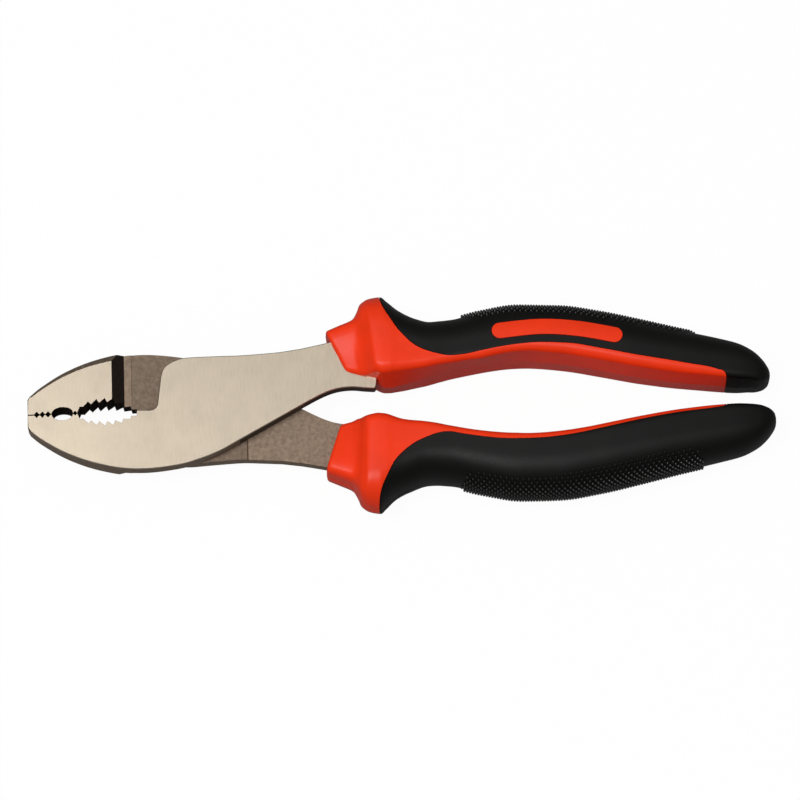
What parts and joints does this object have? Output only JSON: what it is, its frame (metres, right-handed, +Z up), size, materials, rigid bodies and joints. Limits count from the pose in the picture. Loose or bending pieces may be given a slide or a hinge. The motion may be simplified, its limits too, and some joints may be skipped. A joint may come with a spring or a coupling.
{
  "type": "combination pliers",
  "caption": "Lap-joint combination pliers with a toothed pipe grip and flat nose jaws, on handles with hard grip cores and soft studded covers.",
  "frame": {"origin": "centre of the bounding box's footprint, on the surface that the closed pliers lie on", "axes": "+X from the nose to the handle ends, +Z up out of the front face, +Y towards the upper handle"},
  "size_m": [0.2, 0.0586, 0.0228],
  "materials": {
    "lever_steel": "satin ground faces, darker forged recesses",
    "rivet_steel": "satin",
    "hard_grip": "satin red moulding",
    "soft_grip": "matte black, studded on the outer side"
  },
  "bodies": {
    "rear_half": {"rear_lever": "lever_steel", "lower_grip_core": "hard_grip", "lower_grip_cover": "soft_grip"},
    "front_half": {"front_lever": "lever_steel", "pivot_rivet": "rivet_steel", "upper_grip_core": "hard_grip", "upper_grip_cover": "soft_grip"}
  },
  "joints": [
    {"name": "pliers_pivot", "type": "hinge", "parent": "rear_half", "child": "front_half", "pos_m": [-0.0561, 0, 0.0114], "axis": [0, 0, 1], "range_deg": [0, 55]}
  ]
}
